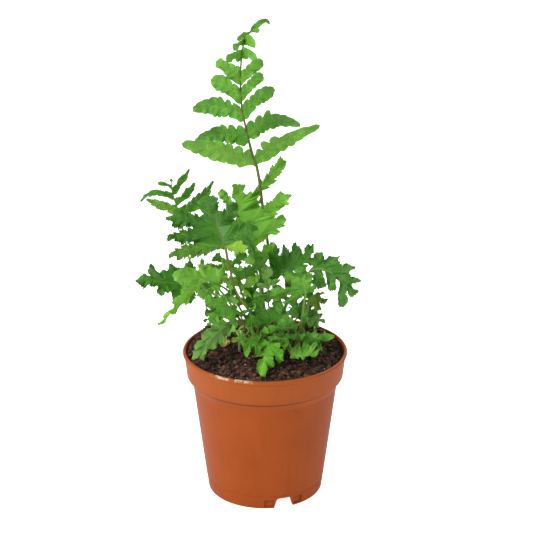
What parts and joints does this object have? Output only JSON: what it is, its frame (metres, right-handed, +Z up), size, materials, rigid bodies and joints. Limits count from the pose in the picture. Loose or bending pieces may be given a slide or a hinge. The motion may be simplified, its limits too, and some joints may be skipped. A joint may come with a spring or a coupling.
{
  "type": "potted fern",
  "caption": "Young fern with one tall upright frond over a low clump of toothed, lobed fronds, growing in dark soil in a round tapered terracotta-coloured plastic nursery pot.",
  "frame": {"origin": "centre of the pot's underside, on the surface it stands on", "axes": "+Z up along the pot's axis; -Y towards the side that is seen from the front, +X to its right"},
  "size_m": [0.1332, 0.1101, 0.2918],
  "materials": {
    "pot_plastic": "terracotta-coloured moulded plastic, satin",
    "potting_soil": "dark crumbly peat mix with bark bits",
    "leaf_dark": "dark green leaf, slightly glossy",
    "leaf_mid": "mid green leaf, slightly glossy",
    "leaf_light": "light green leaf, slightly glossy",
    "leaf_bright": "fresh yellow-green leaf, slightly glossy",
    "leaf_olive": "olive green leaf, matt",
    "leaf_grey": "grey-green leaf, matt",
    "leaf_pale": "pale young leaf, matt",
    "crozier_skin": "pale green young stalk with fine scales",
    "bud_scales": "golden papery scales"
  },
  "bodies": {
    "root": {"pot": "pot_plastic", "soil": "potting_soil", "frond_tall": "leaf_light", "frond_left_young": "leaf_light", "frond_front_dark": "leaf_dark", "frond_back_light": "leaf_light", "frond_left_dark": "leaf_dark", "frond_left_light": "leaf_light", "frond_right_dark": "leaf_dark", "frond_right_far": "leaf_mid", "frond_right_light": "leaf_light", "frond_right_olive": "leaf_olive", "frond_centre_grey": "leaf_grey", "frond_centre_light": "leaf_bright", "frond_mid_left": "leaf_mid", "frond_low_left": "leaf_grey", "frond_centre_round": "leaf_dark", "frond_low_right": "leaf_mid", "frond_soil_right": "leaf_light", "frond_front_low": "leaf_bright", "frond_tiny_pale": "leaf_pale", "frond_back_low_right": "leaf_grey", "frond_rear_left": "leaf_mid", "frond_rear_right": "leaf_dark", "frond_rear_middle": "leaf_light", "frond_inner_left": "leaf_mid", "frond_inner_right": "leaf_dark", "frond_inner_front": "leaf_dark", "frond_inner_back": "leaf_olive", "frond_mid_centre": "leaf_mid", "frond_mid_right": "leaf_mid", "frond_mid_back_left": "leaf_dark", "frond_rear_low_left": "leaf_mid", "frond_rear_low_right": "leaf_dark", "crozier": "crozier_skin", "sprout_bud": "bud_scales"}
  },
  "joints": []
}
